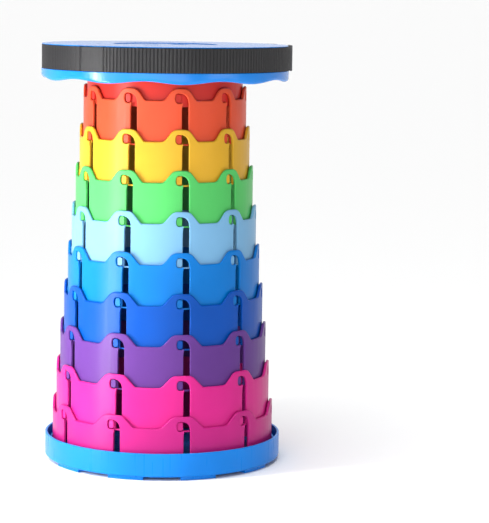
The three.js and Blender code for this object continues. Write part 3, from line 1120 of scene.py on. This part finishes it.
def strap(name, path, width, thickness, outside):
    """Webbing that follows a path seen from above. It notes each point's length along it."""
    low, high = belt_middle - width / 2, belt_middle + width / 2
    piece = begin(name)
    draw([(*point, low) for point in path])
    bpy.ops.object.mode_set(mode="OBJECT")
    along = piece.data.attributes.new("along", "FLOAT", "POINT")
    run = 0.0
    for i, point in enumerate(path):
        run += (point - path[i - 1]).length * MM if i else 0
        along.data[i].value = run
    bpy.ops.object.mode_set(mode="EDIT")
    bpy.ops.mesh.select_all(action="SELECT")
    for rise in (selvedge_width, high - low - 2 * selvedge_width, selvedge_width):
        bpy.ops.mesh.extrude_region_move(TRANSFORM_OT_translate={"value": (0, 0, rise * MM)})
    bpy.ops.mesh.select_all(action="SELECT")
    bpy.ops.mesh.normals_make_consistent(inside=False)
    bpy.ops.object.mode_set(mode="OBJECT")
    outermost = max(piece.data.polygons, key=lambda face: face.center.xy.dot(outside))
    outwards = outermost.normal.xy.dot(outside) > 0
    shaped(piece, "SOLIDIFY", thickness=thickness * MM, offset=-1 if outwards else 1,
           use_even_offset=True)
    bpy.ops.object.mode_set(mode="EDIT")
    bpy.ops.mesh.select_all(action="SELECT")
    bpy.ops.mesh.normals_make_consistent(inside=False)
    bpy.ops.object.mode_set(mode="OBJECT")
    return piece


def make_buckle():
    """The slide buckle over the belt's layers: a plate with two windows and rails."""
    outside = belt_radius + 2 * (belt_thickness + clearance) + buckle_thickness
    middle = outside * math.radians(buckle_angle)
    left, right = middle - buckle_length / 2, middle + buckle_length / 2
    opening = belt_width / 2 + clearance
    tall = opening + buckle_rail
    outline = oblong(left, right, belt_middle - tall, belt_middle + tall, buckle_corner)
    buckle = plate("buckle_shell", outline, 0, buckle_thickness)
    low, high = belt_middle - opening + buckle_lap, belt_middle + opening - buckle_lap
    window = (buckle_length - 3 * buckle_bar) / 2
    for start in (left + buckle_bar, right - buckle_bar - window):
        outline = oblong(start, start + window, low, high)
        carved(buckle, plate("window", outline, -overrun, buckle_thickness + overrun))
    rounded_edges(buckle, buckle_edge)
    return bent(buckle, outside)


# Stage


def make_floor():
    """A wide pale floor."""
    bpy.ops.object.select_all(action="DESELECT")
    bpy.ops.mesh.primitive_plane_add(size=floor_size)
    floor = bpy.context.active_object
    floor.name = "floor"
    paper = Finish("floor_paper")
    paper.set(Base_Color=(floor_white, floor_white, floor_white, 1), Roughness=floor_roughness)
    floor.data.materials.append(paper.material)


def make_surroundings():
    """Surroundings that are dark in front of the stool and bright behind it."""
    world = bpy.data.worlds.new("studio")
    world.use_nodes = True
    sky = Nodes(world.node_tree)
    direction = sky.node("ShaderNodeTexCoord", {}, {}, "Generated")
    backwards = sky.node("ShaderNodeSeparateXYZ", {}, {"Vector": direction}, "Y")
    strength = sky.node(
        "ShaderNodeMapRange", {"interpolation_type": "SMOOTHSTEP"},
        {"Value": backwards, "From Min": back_light_from, "From Max": back_light_full,
         "To Min": front_light, "To Max": back_light},
    )
    background = sky.tree.nodes["Background"]
    sky.feed(background.inputs["Color"], (1, 1, 1, 1))
    sky.feed(background.inputs["Strength"], strength)
    bpy.context.scene.world = world
    bpy.context.scene.view_settings.view_transform = "Standard"


def make_lights():
    """Soft boxes in front and at both sides, and a wide soft sun overhead."""
    for name, azimuth, distance, middle, width, height, power in soft_boxes:
        away = around(distance, azimuth)
        bpy.ops.object.light_add(type="AREA", location=(*away, middle))
        light = bpy.context.active_object
        light.name = name
        light.rotation_euler = Vector((*away, 0)).to_track_quat("Z", "Y").to_euler()
        light.data.shape = "RECTANGLE"
        light.data.size = width
        light.data.size_y = height
        light.data.energy = power
    bpy.ops.object.light_add(type="SUN")
    sun = bpy.context.active_object
    sun.name = "sky_light"
    sun.rotation_euler = (math.radians(sun_tilt[0]), math.radians(sun_tilt[1]), 0)
    sun.data.energy = sun_light
    sun.data.angle = math.radians(sun_spread)


def make_camera():
    """The photograph's own viewpoint."""
    yaw, pitch, roll = (math.radians(a) for a in (camera_yaw, camera_pitch, camera_roll))
    ahead = Vector((math.sin(yaw) * math.cos(pitch), math.cos(yaw) * math.cos(pitch),
                    math.sin(pitch)))
    right = ahead.cross(Vector((0, 0, 1))).normalized()
    up = right.cross(ahead)
    right, up = (right * math.cos(roll) + up * math.sin(roll),
                 up * math.cos(roll) - right * math.sin(roll))
    bpy.ops.object.camera_add(location=Vector(camera_place) * MM)
    camera = bpy.context.active_object
    camera.name = "photo_camera"
    camera.rotation_euler = Matrix((right, up, -ahead)).transposed().to_euler()
    camera.data.sensor_width = sensor
    camera.data.lens = camera_focal / picture_height * sensor
    camera.data.clip_end = camera_reach
    bpy.context.scene.camera = camera


# The stool

make_floor()
make_surroundings()
make_lights()
make_camera()

seat_plastic = moulded_plastic("seat_plastic", azure, roughness=0.2, gloss=0.36)
web = webbing("black_webbing", webbing_dark, webbing_light)
base_plastic = moulded_plastic("base_plastic", azure, roughness=0.3)
core_plastic = moulded_plastic("core_plastic", core_red)
buckle_plastic = moulded_plastic("buckle_plastic", buckle_grey, roughness=0.4)
screw_steel = steel("screw_steel", steel_grey)

dressed(make_base(), "base", base_plastic, "azure_plastic", "base_pan")
for k in range(ring_count, 0, -1):
    slot_name = ring_slots[k - 1]
    coloured = moulded_plastic(f"ring_{k}_plastic", ring_colours[k - 1])
    body = "base" if k == ring_count else f"ring_{k}"
    dressed(make_ring(k), body, coloured, slot_name, f"ring_{k}")
dressed(make_core(), "seat", core_plastic, "red_orange_plastic", "core_tube")
dressed(make_seat(), "seat", seat_plastic, "azure_plastic", "seat_cover")
dressed(make_cap(), "cap", seat_plastic, "azure_plastic", "centre_cap")
belt = strap("belt_webbing", belt_path(), belt_width, belt_thickness - rib_depth,
             around(1, buckle_angle))
dressed(belt, "seat", web, "webbing", "belt")
handle = strap("handle_webbing", handle_path(), handle_width, belt_thickness,
               around(1, handle_angle))
dressed(handle, "seat", web, "webbing", "carry_handle")
dressed(make_buckle(), "seat", buckle_plastic, "buckle_plastic", "belt_buckle")
first_screw = make_screw()
for i in range(screw_count):
    screw = placed(copied(first_screw, f"screw_{i + 1}"), screw_angle + i * 360 / screw_count)
    dressed(screw, "seat", screw_steel, "screw_steel", f"seat_screw_{i + 1}")
bpy.data.objects.remove(first_screw)
